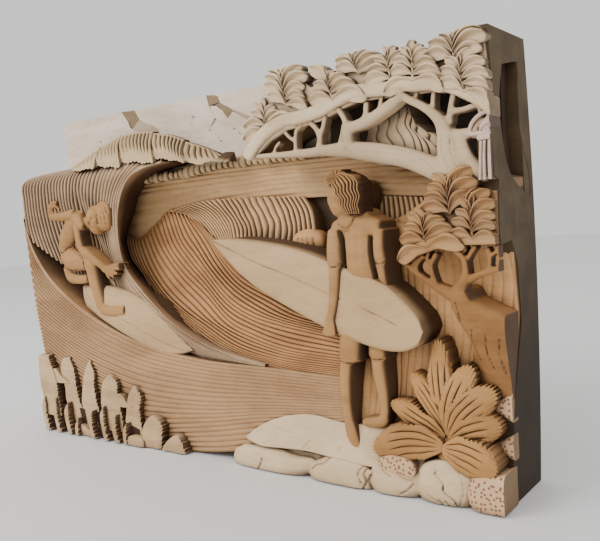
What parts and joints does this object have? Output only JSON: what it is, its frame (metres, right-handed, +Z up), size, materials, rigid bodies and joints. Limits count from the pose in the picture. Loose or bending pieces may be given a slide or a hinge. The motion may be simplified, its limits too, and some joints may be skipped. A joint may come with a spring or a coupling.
{
  "type": "carved wooden wall relief panel",
  "caption": "Deep relief carved from one wood slab and hung on a wall: a rider in a curling wave, a figure holding a board, trees, rocks and coral.",
  "frame": {"origin": "centre of the flat back face, where the panel meets the wall", "axes": "+X to the right of the carving, +Z up, +Y out of the back into the wall; the carving faces -Y"},
  "size_m": [0.8, 0.127, 0.512],
  "materials": {
    "carved_wood": "hand-carved tan wood, satin waxed on the raised faces, darker in the hollows and on the sawn sides"
  },
  "bodies": {
    "root": {"carved_panel": "carved_wood"}
  },
  "joints": []
}
